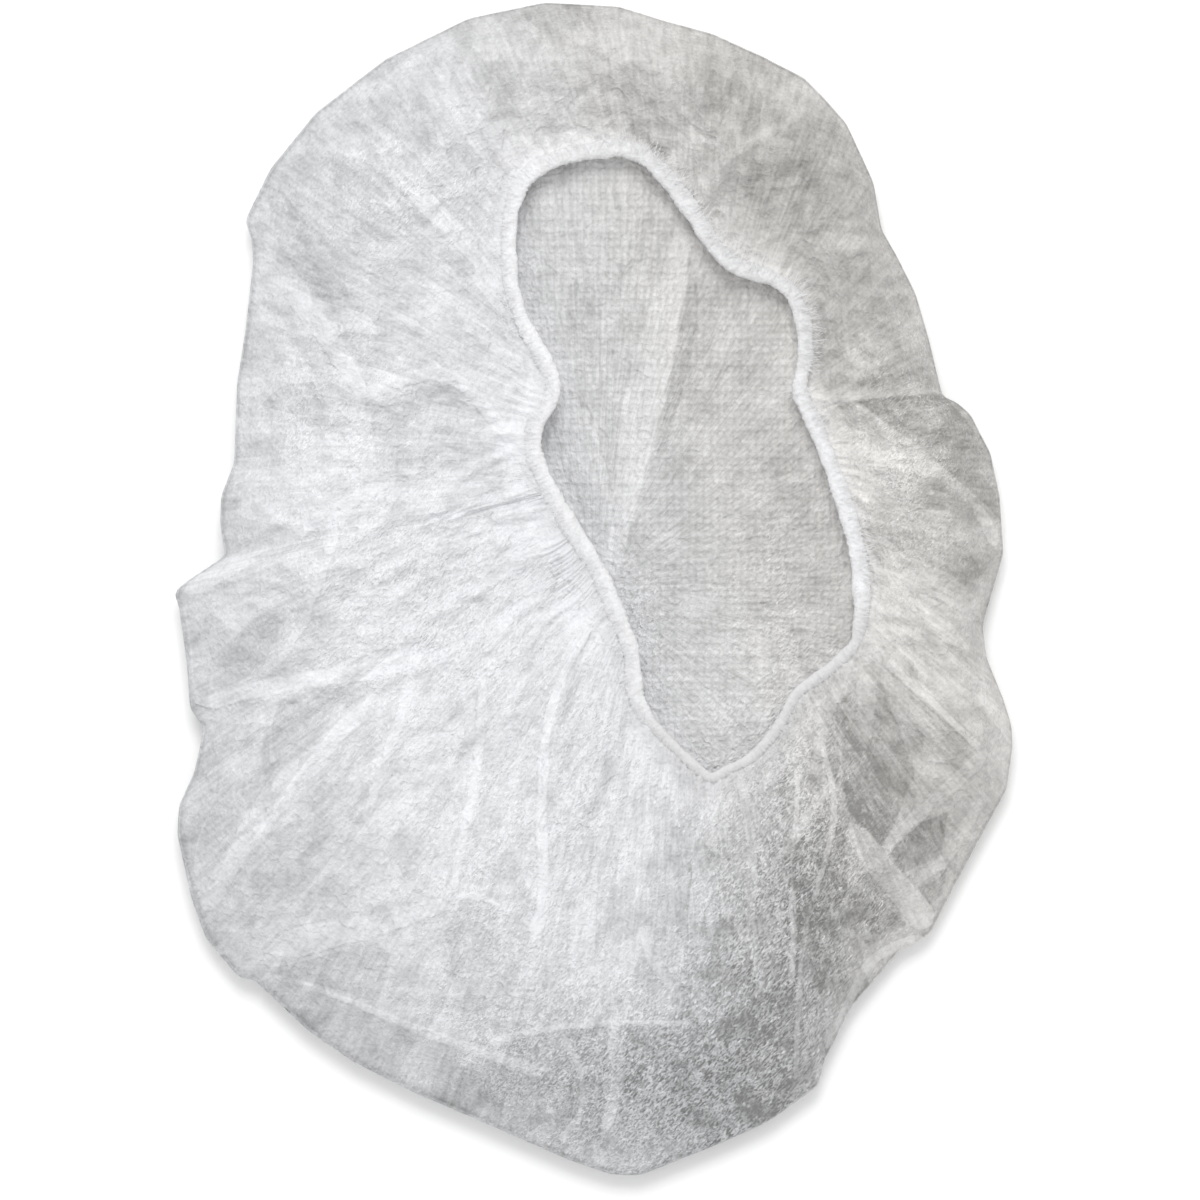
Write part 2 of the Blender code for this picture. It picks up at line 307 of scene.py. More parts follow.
def even_steps(function, low, high, count, width):
    """Parameters above low, up to high, whose points on the curve (width * t, height * function(t))
    are equally far apart."""
    fine = np.linspace(low, high, 2000)
    step = np.hypot(np.diff(fine) * width, np.diff(function(fine)) * CAP_SIZE[2])
    gone = np.concatenate(([0], np.cumsum(step)))
    return np.interp(np.linspace(0, gone[-1], count + 1), gone, fine)[1:]


reaches = np.concatenate((
    np.linspace(0, FLAT_REACH, CROWN_ROWS + 1)[1:],
    even_steps(underside, FLAT_REACH, 1, BILGE_ROWS, CAP_SIZE[:2].mean() / 2),
))
shares = even_steps(topside, 0, 1, RING_ROWS, np.linalg.norm(rim - hem, axis=1).mean())
print("smooth crest from", round(crest.min() / MM, 1), "to", round(crest.max() / MM, 1), "mm")

# %% [markdown]
# Between the named folds the cloth is crumpled all over and pleated towards the elastic. Pleats start
# wide and few and split into more and finer ones near the hem. Cloth simulation makes such folds too,
# but where they fall is chance, so random creases and zigzags are laid over the smooth section instead.

# %% Crumpling
rng = np.random.default_rng(21)


def scatter_creases(count, reach, slope, radial):
    """Random creases over the ring: a centre between rim and hem, a direction that leans towards the
    hem by the share radial, a slope up or down and a reach, each between two ends."""
    column = rng.integers(0, COLUMNS, count)
    share = rng.uniform(0.0, 0.95, count)[:, None]
    centres = rim[column] * (1 - share) + hem[column] * share
    inward = hem[column] - rim[column]
    turns = np.arctan2(inward[:, 1], inward[:, 0]) + rng.normal(0, 1.5 - radial, count)
    slopes = rng.uniform(*slope, count) * rng.choice((-1, 1), count)
    return np.column_stack((centres, turns, slopes, rng.uniform(*reach, count) * MM))


BROAD = scatter_creases(60, (18, 40), (0.03, 0.10), 0.9)
MIDDLING = scatter_creases(260, (6, 14), (0.05, 0.14), 0.6)
FINE = scatter_creases(2600, (1.8, 4.0), (0.15, 0.50), 0.5)
KINKS = scatter_creases(140, (12, 34), (0.4, 1.2), 0.6)
print("creases of four kinds:", *(len(kind) for kind in (BROAD, MIDDLING, FINE, KINKS)))
rim_round = np.linalg.norm(rim - np.roll(rim, 1, axis=0), axis=1).sum()
# How many pleats go round, how steep their sides are, and the shares where they start and are full
PLEAT_FAMILIES = ((31, 0.07, -0.05, 0.40), (67, 0.12, 0.35, 0.90), (179, 0.55, 0.70, 0.99))
# How far the cloth climbs at the hem, to lie over the roll's outer side
OVER_ROLL = 1.65 * MM


def folded(phase):
    """Zigzag of period one: flat sides that meet in a sharp ridge, and a valley softened a little."""
    beside = phase - np.round(phase)
    return np.sqrt(beside**2 + 0.03**2) - 0.25


def gathers(plan, share, place):
    """Pleats that run out from the elastic: zigzags round the loop, whose lines are kinked by V creases
    of their own, each family fading out at its own distance from the hem and coming and going round it."""
    kink = crumple(plan, KINKS, 0.8 * MM)
    height = np.zeros(len(plan))
    one_way, other_way = plan @ (131.0, 97.0), plan @ (-83.0, 149.0)
    for waves, slope, start, full in PLEAT_FAMILIES:
        period = rim_round / waves
        patch = 0.50 + 0.50 * np.sin(one_way + waves) * np.sin(other_way + 2 * waves)
        fold = folded(waves * place + kink / period)
        height += slope * period * fold * patch * smooth_step(share, start, full)
    return height


def ring_relief(plan, share, place):
    """Everything that lifts the ring's cloth off its smooth section."""
    relief = photographed_folds(plan)
    relief += crumple(plan, BROAD, 1.0 * MM)
    relief += crumple(plan, MIDDLING, 0.6 * MM)
    relief += crumple(plan, FINE, 0.35 * MM)
    relief *= smooth_step(share, -0.02, 0.12) * (1 - 0.75 * smooth_step(share, 0.86, 1.0))
    relief += gathers(plan, share, place) * smooth_step(share, 0, 0.1)
    return relief + OVER_ROLL * smooth_step(share, 0.92, 0.985)


# %% [markdown]
# The crown is the same cloth seen from inside. It lies on the surface, so its waves only ever lift it:
# a low random swell, a rise under the opening where nothing holds it down, and a few sharp creases
# that run on under the ring.

# %% The crown
CROWN_CREASES = (
    (764, 500, 762, 700, 0.7, 2.5), (690, 330, 640, 500, 0.8, 3.0), (600, 230, 560, 330, 0.5, 3.0),
)
# How far the crown rises under the opening, in mm
CROWN_RISE = 9.5


def crown_lift(plan):
    """Small lifts of the crown off the surface, never below it."""
    x, y = (plan / MM).T
    swell = 0.35 + 0.20 * np.sin(x / 17 + 1.0) * np.sin(y / 23) + 0.15 * np.sin(x / 9 + y / 14)
    swell += CROWN_RISE * smooth_step(into_opening(plan), -34, 2)
    return swell * MM + sum(fold_heights(plan, CROWN_CREASES, 0.4 * MM))


# %% [markdown]
# With its section and its folds known, the cloth is one grid: rings from the crown's middle out over
# the rim and in to the hem, and one last turn down behind the roll. One mesh has no seam at the rim,
# which two halves would have to hide.

# %% Grid of the cloth
place = np.arange(COLUMNS) / COLUMNS
# Share by which the wide and the small puckers draw the cloth in, and how high they stand, in mm
WIDE_IN, SMALL_IN = 0.012, 0.008
WIDE_UP, SMALL_UP = 1.2, 2.7
# The edge is turned in over the elastic: how many rows back from the hem, and how far below, in mm
TURNED_IN = ((0, 1.4), (2, 2.4), (5, 2.8), (9, 2.8), (13, 2.8))


def puckers(reach, plan):
    """Heights from nought to one of gathers up the side of the cap, and of small ones under its ring:
    |sin| ridges. None shows in the opening, where the crown lies smooth."""
    wide = np.abs(np.sin(36 * np.pi * place + 1.3 * np.sin(6 * np.pi * place)))
    small = np.abs(np.sin(104 * np.pi * place + 1.9 * np.sin(14 * np.pi * place + 9 * reach)))
    hidden = 1 - smooth_step(into_opening(plan), -14, -4)
    up_the_side = smooth_step(reach, 0.84, 0.93) * (1 - smooth_step(reach, 0.975, 1.0))
    under_the_ring = smooth_step(reach, 0.30, 0.60) * (1 - smooth_step(reach, 0.985, 1.0))
    return wide * up_the_side, small * hidden * under_the_ring


def cloth_rows(crumpled):
    """Rings of points from the crown's middle over the rim to the hem, crumpled or smooth."""
    rows = []
    for reach in reaches:
        plan = CAP_MIDDLE + (rim - CAP_MIDDLE) * reach
        z = crest * underside(reach)
        if crumpled:
            wide, small = puckers(reach, plan)
            plan = plan - (plan - CAP_MIDDLE) * (WIDE_IN * wide + SMALL_IN * small)[:, None]
            z = z + crown_lift(plan) * (1 - smooth_step(reach, 0.86, 0.97))
            z = z + (WIDE_UP * wide + SMALL_UP * small) * MM
        rows.append(np.column_stack((plan, z)))
    plan = rim + (hem - rim) * shares[:, None, None]
    z = crest * topside(shares)[:, None]
    if crumpled:
        everywhere = (np.repeat(shares, COLUMNS), np.tile(place, RING_ROWS))
        z = z + ring_relief(plan.reshape(-1, 2), *everywhere).reshape(z.shape)
    ring = np.dstack((plan, z))
    turned_in = [ring[-1 - back] - (0, 0, drop * MM) for back, drop in TURNED_IN]
    return np.concatenate((rows, ring, turned_in))


def ring_faces(rows, columns, closed):
    """Quads between neighbouring rings, with their outer side out for rings that grow outwards on the
    underside, or for a tube whose rings turn clockwise round its path."""
    ring = np.arange(rows if closed else rows - 1)[:, None]
    column = np.arange(columns)[None, :]
    first, after, beside = ring * columns, (ring + 1) % rows * columns, (column + 1) % columns
    corners = (first + column, first + beside, after + beside, after + column)
    return np.stack(corners, axis=-1).reshape(-1, 4)


def add_mesh(name, points, faces):
    """A smooth-shaded object from points and faces, with its place in its mesh."""
    mesh = bpy.data.meshes.new(name)
    mesh.from_pydata(np.asarray(points).tolist(), [], faces)
    mesh.shade_smooth()
    piece = bpy.data.objects.new(name, mesh)
    bpy.context.scene.collection.objects.link(piece)
    return piece


grid = cloth_rows(crumpled=True)
print("highest fold", round(grid[..., 2].max() / MM, 2), "mm, packed cap", round(CAP_HIGH[2] / MM, 2), "mm")
middle = grid[0].mean(axis=0)
first_ring = np.arange(COLUMNS)
fan = np.column_stack((np.full(COLUMNS, grid.size // 3), np.roll(first_ring, -1), first_ring))
cloth_faces = fan.tolist() + ring_faces(len(grid), COLUMNS, closed=False).tolist()
cap_cloth = add_mesh("cap_cloth", np.vstack((grid.reshape(-1, 3), middle)), cloth_faces)
print("cap_cloth", len(cap_cloth.data.vertices), "points")

# %% [markdown]
# ## A map of the flat cloth
#
# Spunbond is bonded in a fine regular grid of points, and its threads run on through every fold. So
# the pattern is drawn on the cloth as it was before it was gathered: a UV map in metres, laid out from
# the arc length along each column. On the underside it grows outwards to the rim, and on the ring it
# comes back in, because a sheet folded over at the rim mirrors there. A second map follows the
# gathers: it goes round a circle, so it has no seam, and climbs with the way from rim to hem.

# %% Maps and values on the points
def arc_lengths(rows):
    """How far each point lies from the crown's middle, measured along its column."""
    first = np.linalg.norm(rows[0, :, :2] - CAP_MIDDLE, axis=1)
    return np.vstack((first, first + np.cumsum(np.linalg.norm(np.diff(rows, axis=0), axis=2), axis=0)))


def flat_places(arcs):
    """The middle plus the outward direction times the arc, up to the rim, then inward again."""
    outward = (rim - CAP_MIDDLE) / np.linalg.norm(rim - CAP_MIDDLE, axis=1, keepdims=True)
    inward = (hem - rim) / np.linalg.norm(hem - rim, axis=1, keepdims=True)
    under = CAP_MIDDLE + arcs[: RIM_ROW + 1, :, None] * outward
    over = under[-1] + (arcs[RIM_ROW + 1 :] - arcs[RIM_ROW])[..., None] * inward
    return np.concatenate((under, over))


def set_map(piece, places):
    """Writes a flat place for each vertex to its faces' corners, as the UV map named flat."""
    mesh = piece.data
    corner = np.empty(len(mesh.loops), np.int32)
    mesh.loops.foreach_get("vertex_index", corner)
    mesh.uv_layers.new(name="flat").uv.foreach_set("vector", np.asarray(places, np.float32)[corner].ravel())


def set_value(piece, name, values):
    """Writes a number, or a vector, for each vertex, which a material reads by name."""
    values = np.asarray(values, np.float32)
    kind, field = ("FLOAT_VECTOR", "vector") if values.ndim == 2 else ("FLOAT", "value")
    piece.data.attributes.new(name, kind, "POINT").data.foreach_set(field, values.ravel())


arcs = arc_lengths(cloth_rows(crumpled=False))
set_map(cap_cloth, np.vstack((flat_places(arcs).reshape(-1, 2), CAP_MIDDLE)))
around = rim_round / (2 * np.pi) * np.column_stack((np.cos(2 * np.pi * place), np.sin(2 * np.pi * place)))
along = np.dstack((np.broadcast_to(around, (len(grid), COLUMNS, 2)), arcs - arcs[RIM_ROW]))
set_value(cap_cloth, "gathered", np.vstack((along.reshape(-1, 3), (0, 0, 0))))
print("cut radius", np.round(np.percentile(arcs[-1], (0, 50, 100)) / MM), "mm along the columns")

# %% [markdown]
# One layer of this cloth is grey, because the eye sees through it, and each layer more makes it
# whiter. So where pleats were pressed into the cap, bands and patches of doubled cloth show as lighter
# shapes with crisp straight edges, and single cloth between them as darker ones. A tone for each point
# would blur those edges. Each point holds its distance to the nearest edge instead, which runs evenly
# across a face, and the material cuts it at nought, so the edge is as sharp as the render. The soft
# tone on the points holds painted light and shade too: lighter on the left, painted shade along the rim
# and on the top rim that faces the lamp, and painted light on the crown beside the hem.

# %% Layers, painted light and shade
# Pixel x and y, half width, half height, turn in degrees, how much whiter or greyer, as doubled or
# single cloth and as painted light and shade
LAYER_AND_LIGHT_PATCHES = (
    (430, 560, 130, 150, 0, 0.11), (430, 730, 120, 110, 10, 0.09), (330, 470, 70, 60, 0, 0.04),
    (470, 250, 60, 90, 0, 0.10), (500, 860, 110, 110, 0, 0.08), (640, 800, 60, 90, 0, 0.02),
    (600, 980, 70, 60, 0, 0.04), (560, 90, 90, 50, 0, -0.05), (900, 500, 50, 70, 0, -0.23),
    (900, 600, 60, 60, 0, -0.08), (700, 1090, 130, 75, -20, -0.62), (900, 830, 90, 90, 0, -0.32),
    (790, 940, 90, 150, 0, -0.64), (800, 170, 110, 80, 20, -0.38), (690, 160, 30, 40, 0, 0.10),
    (870, 330, 70, 110, 0, -0.26), (960, 480, 40, 110, 0, -0.32), (300, 1040, 150, 60, 25, -0.10),
    (480, 1090, 120, 40, 20, -0.24),
    (230, 640, 50, 60, 0, -0.06), (290, 740, 60, 50, 0, -0.06), (420, 60, 160, 50, -25, -0.06),
    (330, 180, 110, 90, -30, -0.07), (250, 400, 40, 130, 0, -0.04), (880, 720, 80, 70, 0, -0.18),
    (640, 690, 40, 70, -30, 0.06), (860, 640, 60, 50, 0, 0.10), (520, 560, 50, 90, 30, 0.06),
    (880, 460, 50, 50, 0, 0.14), (900, 382, 60, 30, 10, -0.32), (720, 870, 50, 60, 0, -0.06),
    (580, 15, 110, 40, 0, -0.38), (715, 80, 90, 50, 35, -0.38), (530, 135, 50, 25, 0, 0.10),
    (885, 290, 30, 60, 0, -0.12), (680, 960, 40, 60, 0, -0.13), (800, 960, 30, 60, 0, -0.10),
    (500, 1020, 70, 30, 10, -0.11), (465, 775, 60, 45, 0, -0.09), (530, 890, 40, 70, 0, -0.08),
    (320, 340, 45, 45, 0, -0.14), (375, 115, 50, 30, -30, -0.12), (215, 640, 50, 100, 0, 0.10),
    (825, 750, 25, 50, 0, -0.13), (975, 590, 30, 60, 0, -0.14), (875, 580, 30, 70, 0, 0.08),
    (580, 1140, 50, 40, 0, -0.16), (640, 1010, 40, 25, 0, 0.10),
)
RING_LAYERS = 0.605
# The same for the crown, seen through the opening, with painted light in its lighter patches by the hem
CROWN_LAYER_AND_LIGHT_PATCHES = (
    (545, 250, 30, 150, 0, 0.06), (620, 160, 70, 30, 0, 0.06), (575, 430, 40, 110, 20, 0.06),
    (812, 580, 40, 100, 0, -0.10), (700, 710, 70, 60, 0, 0.10), (690, 560, 50, 110, 0, -0.03),
    (780, 510, 35, 150, 0, -0.09), (700, 345, 35, 80, 0, -0.10), (600, 180, 60, 30, 30, 0.16),
)
CROWN_LAYERS = 0.42
# Where the cloth glitters with painted glints and crinkles: crinkled film more than fibre
GLINT_AND_CRINKLE_PATCHES = (
    (650, 1090, 150, 80, -20, 2.7), (760, 960, 70, 170, 0, 1.5), (800, 820, 50, 120, 0, 1.1),
    (870, 900, 50, 70, 0, 0.6), (500, 870, 90, 110, 0, 0.6), (430, 620, 110, 110, 0, 0.8),
    (900, 470, 60, 110, 0, 0.7), (330, 420, 80, 90, 0, 0.4), (600, 760, 60, 130, 0, 0.5),
    (400, 200, 90, 60, 0, 0.4), (640, 620, 30, 60, 0, 0.5), (770, 620, 40, 120, 0, 0.5),
    (820, 200, 80, 110, 0, -0.15),
)
# Path x, y, x, y, ... in pixels, width in pixels at its start and at its end, how much whiter
BANDS = (
    ((288, 286, 330, 340, 366, 396), 22, 16, 0.12),
    ((362, 400, 400, 384, 448, 366, 492, 414, 560, 508, 596, 566), 12, 17, 0.12),
    ((440, 400, 424, 450, 413, 488), 9, 7, 0.10),
    ((384, 460, 370, 500, 363, 542), 9, 7, 0.10),
    ((180, 596, 228, 568, 290, 538, 334, 514, 400, 478), 22, 10, 0.12),
    ((340, 528, 326, 574, 303, 633, 277, 668), 10, 7, 0.12),
    ((200, 706, 270, 686, 302, 681, 367, 672, 424, 656), 14, 18, 0.12),
    ((284, 700, 262, 722, 238, 740), 10, 7, 0.10),
    ((276, 700, 272, 730, 276, 764), 6, 5, 0.12),
    ((376, 698, 293, 764, 230, 866, 203, 912), 26, 20, 0.12),
    ((417, 676, 393, 745, 374, 800, 367, 820), 12, 8, 0.13),
    ((484, 680, 480, 764, 458, 864, 455, 888), 10, 8, 0.12),
    ((590, 630, 562, 672, 545, 728, 541, 846, 549, 890, 534, 938), 8, 12, 0.18),
    ((264, 952, 300, 940, 384, 921, 448, 900), 34, 14, 0.15),
    ((455, 894, 480, 891, 502, 904), 7, 5, 0.26),
    ((300, 982, 350, 998, 394, 1017, 436, 1034, 492, 1052, 542, 1071), 5, 13, 0.16),
    ((440, 993, 525, 991), 4, 3, 0.14),
    ((488, 1040, 550, 1023, 607, 1019, 692, 1018), 8, 5, 0.22),
    ((551, 945, 550, 1016), 5, 4, 0.10),
    ((612, 1022, 620, 1070, 606, 1128), 16, 10, 0.26),
    ((846, 818, 872, 858, 900, 890, 930, 926), 22, 28, 0.22),
    ((986, 748, 947, 786, 914, 816, 880, 848), 16, 12, 0.18),
    ((880, 656, 913, 688, 977, 748), 10, 7, 0.20),
    ((817, 735, 838, 800, 826, 850, 800, 930, 796, 1000, 795, 1080), 6, 5, 0.28),
    ((932, 940, 912, 940, 868, 958, 850, 1000, 826, 1050), 12, 8, 0.26),
    ((912, 886, 944, 862, 980, 800), 14, 12, 0.14),
    ((694, 190, 722, 164, 765, 138, 800, 118), 12, 8, 0.09),
    ((712, 206, 750, 190, 800, 184), 14, 8, 0.08),
    ((476, 116, 500, 150, 518, 178), 12, 16, 0.12),
    ((437, 127, 444, 150, 450, 172), 5, 4, 0.14),
    ((806, 396, 850, 402, 900, 392, 940, 394), 8, 6, 0.10),
    ((850, 560, 900, 580, 968, 612), 8, 6, 0.10),
    ((968, 500, 984, 520, 996, 545), 14, 12, 0.18),
    ((575, 385, 592, 430, 606, 480, 612, 530, 606, 580), 8, 9, 0.14),
    ((606, 572, 628, 640, 652, 700), 4, 4, 0.16),
    ((764, 490, 763, 600, 760, 735), 6, 20, 0.12),
    ((826, 784, 806, 812, 792, 842, 770, 862), 10, 7, 0.16),
    ((797, 765, 796, 800, 793, 838), 6, 5, 0.30),
    ((790, 880, 792, 930, 789, 980), 6, 6, 0.38),
    ((853, 650, 835, 690, 822, 730, 812, 770), 12, 8, 0.14),
    ((862, 668, 866, 705, 862, 748), 20, 12, 0.12),
    ((930, 800, 938, 840, 946, 862), 10, 7, 0.12),
    ((836, 925, 852, 934, 872, 936), 8, 6, 0.14),
    ((735, 760, 744, 800, 752, 860, 748, 900), 8, 10, 0.12),
    ((640, 930, 652, 960, 672, 985), 8, 8, 0.10),
    ((560, 1030, 580, 1060, 584, 1110, 560, 1140), 7, 6, 0.22),
)
# Corners x, y, x, y, ... in pixels, how much whiter or greyer
FACETS = (
    ((262, 170, 296, 208, 345, 262, 352, 304, 318, 300, 280, 250), -0.11),
    ((372, 408, 447, 382, 470, 408, 430, 470, 380, 470), -0.10),
    ((186, 606, 208, 610, 238, 632, 268, 610, 288, 620, 262, 672, 198, 700), -0.13),
    ((284, 699, 360, 692, 372, 696, 290, 762, 270, 790, 262, 750), -0.12),
    ((215, 800, 250, 770, 240, 830, 212, 890, 196, 850), -0.10),
    ((300, 800, 345, 740, 380, 700, 372, 790, 300, 872), -0.08),
    ((262, 972, 378, 938, 392, 950, 380, 1000, 300, 978), -0.14),
    ((462, 902, 500, 912, 498, 958, 480, 985, 444, 968, 448, 920), -0.07),
    ((873, 660, 913, 773, 880, 845, 843, 806, 838, 720, 850, 672), -0.18),
    ((887, 850, 913, 822, 947, 811, 940, 857, 900, 871), -0.19),
    ((915, 884, 946, 868, 943, 893, 930, 906), -0.22),
    ((847, 924, 873, 894, 906, 923, 867, 946), -0.20),
    ((826, 675, 845, 672, 838, 760, 834, 792, 822, 742), -0.16),
    ((824, 802, 842, 830, 846, 890, 820, 922, 792, 942, 790, 850), -0.14),
    ((776, 744, 784, 742, 790, 812, 780, 822), -0.14),
    ((723, 122, 797, 92, 840, 124, 866, 176, 816, 150, 760, 140), -0.05),
    ((712, 202, 748, 172, 813, 162, 872, 190, 880, 240, 800, 232), -0.05),
    ((853, 402, 943, 394, 990, 447, 1000, 520, 967, 490, 913, 447), -0.20),
    ((867, 524, 960, 545, 985, 575, 965, 585, 900, 552), -0.12),
    ((870, 566, 974, 585, 983, 622, 922, 613), 0.08),
    ((616, 1024, 690, 1024, 790, 975, 818, 1085, 720, 1148, 640, 1178, 612, 1150), -0.06),
    ((548, 1078, 604, 1070, 600, 1140, 560, 1150), -0.14),
    ((686, 206, 690, 240, 684, 300, 668, 380, 650, 450, 625, 550, 611, 592, 604, 575, 612, 520,
      618, 450, 624, 400, 641, 330, 660, 280, 679, 215), 0.16),
    ((690, 246, 700, 300, 686, 380, 668, 440, 652, 480, 668, 385, 684, 305), -0.14),
)
EDGE_REACH = 4 * MM
# A band's path is softened in fine steps and measured in pieces of a few steps each
PATH_STEPS, PIECE_STEPS, SOFTENINGS = 60, 3, 40
# How long a band's tapers are, for each metre of its half width
START_TAPER, END_TAPER = 2.2, 0.9
# How much whiter the cloth is at the hem, how much painted shade greys it at the rim, and how strong
# its crinkles and painted glints are all over
HEM_WHITER, RIM_PAINTED_SHADE, PLAIN_GLINT_AND_CRINKLE = 0.32, 0.30, 0.15
# Lower than this, and outside the opening, no band or facet shows
LOWEST_SHOWN = 5.5 * MM


def patches(plan, rows):
    """Sum of bells exp(-(u^2 + v^2)) in the turned axes of each row's ellipse, times its amount."""
    total = np.zeros(len(plan))
    for x, y, wide, high, turn, amount in rows:
        away = plan - on_plan((x, y))
        cosine, sine = np.cos(np.radians(turn)), np.sin(np.radians(turn))
        u = (away[:, 0] * cosine + away[:, 1] * sine) / (wide * PIXEL)
        v = (away[:, 1] * cosine - away[:, 0] * sine) / (high * PIXEL)
        total += amount * np.exp(-(u**2) - v**2)
    return total


def inside_band(plan, path, start, end):
    """Distance in from the edge of a band: half its width, which runs from start to end, less the
    distance to its path. The path is softened first, so that it bends and has no corners, and the
    width falls to nought at both ends: at its start like a pleat's point, at its end more abruptly."""
    knots = walk(on_plan(np.reshape(path, (-1, 2))), PATH_STEPS + 1, closed=False)
    for _ in range(SOFTENINGS):
        knots[1:-1] = (knots[:-2] + 2 * knots[1:-1] + knots[2:]) / 4
    length = np.linalg.norm(np.diff(knots, axis=0), axis=1).sum()
    deepest = np.full(len(plan), -EDGE_REACH)
    for i in range(0, PATH_STEPS, PIECE_STEPS):
        share, gap = to_segment(plan, knots[i], knots[i + PIECE_STEPS])
        gone = (i + PIECE_STEPS * share) / PATH_STEPS
        half = (start + (end - start) * gone) * PIXEL / 2
        taper = np.minimum(gone / START_TAPER, (1 - gone) / END_TAPER)
        deepest = np.maximum(deepest, half * np.clip(taper * length / half, 0, 1) - gap)
    return deepest


def inside_facet(plan, corners):
    """Distance in from the edge of a polygon of pixels."""
    return np.maximum(depth_inside(plan, on_plan(np.reshape(corners, (-1, 2)))), -EDGE_REACH)


def nearest_of(plan, rows, inside):
    """For every point, how far inside the nearest shape of a table it is, and that shape's tone."""
    deepest = np.full(len(plan), -EDGE_REACH)
    tone = np.zeros(len(plan))
    for row in rows:
        depth = inside(plan, *row[:-1])
        tone = np.where(depth > deepest, row[-1], tone)
        deepest = np.maximum(deepest, depth)
    return deepest, tone


def set_tone_and_painted_light(piece, rows):
    """Writes the soft tone with its painted light and shade, the glint and crinkle strength, the warmth,
    and the edges and tones of the bands and facets to a piece's points. Painted shade darkens the cloth
    at the rim, it whitens at the hem, and painted light whitens the crown beside the hem, where the hem's
    shadow falls."""
    plan = rows[..., :2].reshape(-1, 2)
    # The soft patches paint light and shade into the tone as well as doubled and single cloth
    tone = RING_LAYERS + patches(plan, LAYER_AND_LIGHT_PATCHES).reshape(rows.shape[:2])
    ring = slice(RIM_ROW + 1, RIM_ROW + 1 + RING_ROWS)
    # Painted shade: the ring darkens towards the rim, and most at its very edge
    by_share = HEM_WHITER * smooth_step(shares, 0.81, 0.985) - 0.03 * (1 - smooth_step(shares, 0, 0.14))
    tone[ring] += (by_share - RIM_PAINTED_SHADE * (1 - smooth_step(shares, 0, 0.022)))[:, None]
    from_hem = into_opening(plan)
    # Painted light on the crown beside the hem, where the hem's shadow falls
    painted_light_beside_hem = 0.10 * (1 - smooth_step(from_hem, 0, 12)) + 0.28 * (1 - smooth_step(from_hem, 1, 6))
    crown = CROWN_LAYERS + patches(plan, CROWN_LAYER_AND_LIGHT_PATCHES) + painted_light_beside_hem
    tone[: RIM_ROW + 1] = crown.reshape(rows.shape[:2])[: RIM_ROW + 1]
    # This tone holds painted light and shade as well as the layers
    set_value(piece, "layers_and_shade", np.append(tone, CROWN_LAYERS))
    set_value(piece, "glint_and_crinkle", np.append(PLAIN_GLINT_AND_CRINKLE + patches(plan, GLINT_AND_CRINKLE_PATCHES), PLAIN_GLINT_AND_CRINKLE))
    x, y = ((plan - CAP_MIDDLE) / MM).T
    set_value(piece, "warmth", np.append(smooth_step(x + 0.3 * y, -20, 90), 0.4))
    on_top = (rows[..., 2] > LOWEST_SHOWN).ravel()
    shown = on_top | (inside_facet(plan, LOOP_MARKS_PX) > 0)
    for name, table, inside in (("band", BANDS, inside_band), ("facet", FACETS, inside_facet)):
        depth, amount = nearest_of(plan, table, inside)
        set_value(piece, name + "_edge", np.append(np.where(shown, depth, -EDGE_REACH), -EDGE_REACH))
        set_value(piece, name + "_tone", np.append(amount, 0))


set_tone_and_painted_light(cap_cloth, grid)
bonded = np.where(np.arange(len(grid)) <= RIM_ROW, 1.0, 0.35)
set_value(cap_cloth, "bonded", np.append(np.repeat(bonded, COLUMNS), 1))
print(len(BANDS), "bands and", len(FACETS), "facets")

# %% [markdown]
# ## The ruched hem
#
# The edge of the cloth is turned over the elastic and sewn, so when the elastic pulls it short it
# ruches into a thick soft roll, whiter than the rest because so much cloth lies in it. It is a tube
# along the loop, oval in section, whose skin is ridged by the ruches and roughened by fibres.

# %% Hem tube
HEM_WIDE, HEM_HIGH = 5.0 * MM, 2.9 * MM
HEM_AROUND = 18
RUCHES, SMALL_RUCHES = 74, 171
TUFTS = 1500
JOINT_PX, JOINT_TUFTS = (797, 390), 14


def hem_heights(line):
    """Height of the cloth's edge at each point of the loop, softened along it."""
    edge = grid[RIM_ROW + RING_ROWS] - (*OPENING_CENTRE, 0)
    at = line - OPENING_CENTRE
    edge_bearing = np.arctan2(edge[:, 1], edge[:, 0])
    heights = np.interp(np.arctan2(at[:, 1], at[:, 0]), edge_bearing, edge[:, 2], period=2 * np.pi)
    waves = np.fft.fftfreq(len(line), 1 / len(line))
    return np.fft.ifft(np.fft.fft(heights) * np.exp(-((waves / 24) ** 2))).real


def sideways(line):
    """Unit vectors across a closed line, pointing out of the opening."""
    run = np.roll(line, -1, axis=0) - np.roll(line, 1, axis=0)
    return np.column_stack((run[:, 1], -run[:, 0])) / np.linalg.norm(run, axis=1, keepdims=True)


def hidden_share(points):
    """How far the roll sinks into the cloth, up to one at the lower right, where less is gathered."""
    x, y = ((points[:, :2] - OPENING_CENTRE) / MM).T
    return smooth_step(0.5 * x - y, 60, 84)


def dimmed_share(points):
    """How much less white the roll is: most where it sinks in, and some at the upper right."""
    x, y = ((points[:, :2] - OPENING_CENTRE) / MM).T
    return np.maximum(hidden_share(points), 0.35 * smooth_step(x + y, 35, 70))


